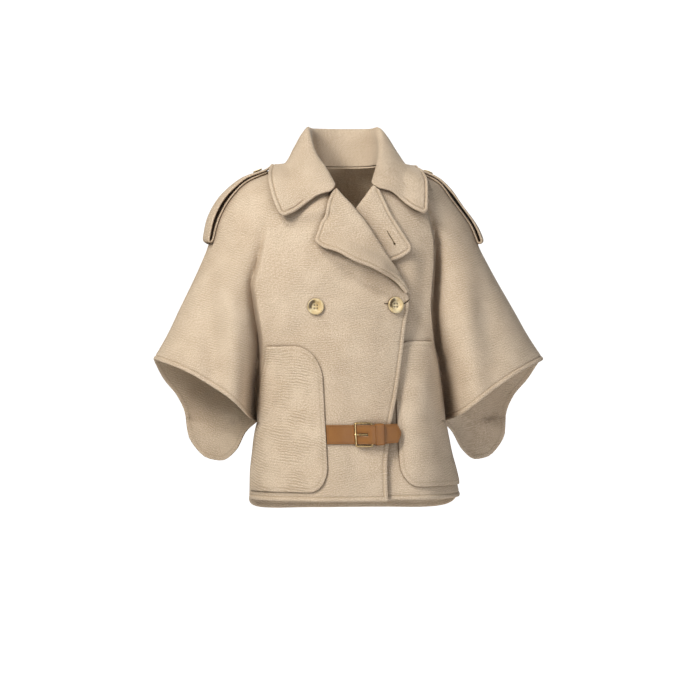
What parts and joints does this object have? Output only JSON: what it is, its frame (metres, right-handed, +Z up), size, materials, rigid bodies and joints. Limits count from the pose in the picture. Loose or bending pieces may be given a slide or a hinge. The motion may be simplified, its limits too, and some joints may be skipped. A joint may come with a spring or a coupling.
{
  "type": "wool cape coat",
  "caption": "Hip-length double-breasted wool cape coat with half-length wings for sleeves, a wide turned collar, patch pockets and a buckled leather strap, in worn form.",
  "frame": {"origin": "on the wearer's middle plane at the base of the neck, level with the shoulders, where the wearer holds the coat up", "axes": "+Z up, the front faces -Y, the wearer's left is +X"},
  "size_m": [0.726, 0.3, 0.7131],
  "materials": {
    "wool": "brushed double-faced wool, beige, soft short nap",
    "leather": "smooth tan leather, low sheen",
    "horn": "pale horn, polished",
    "brass": "pale polished brass"
  },
  "bodies": {
    "root": {"front_right": "wool", "front_left": "wool", "back": "wool", "lapel_right": "wool", "lapel_left": "wool", "collar": "wool", "pocket_right": "wool", "pocket_left": "wool", "epaulette_right": "wool", "epaulette_left": "wool", "epaulette_button_right": "horn", "epaulette_button_left": "horn", "button_closing": "horn", "button_facing": "horn", "strap": "leather", "buckle_strap": "leather", "keeper": "leather", "buckle_frame": "brass", "buckle_prong": "brass"}
  },
  "joints": []
}
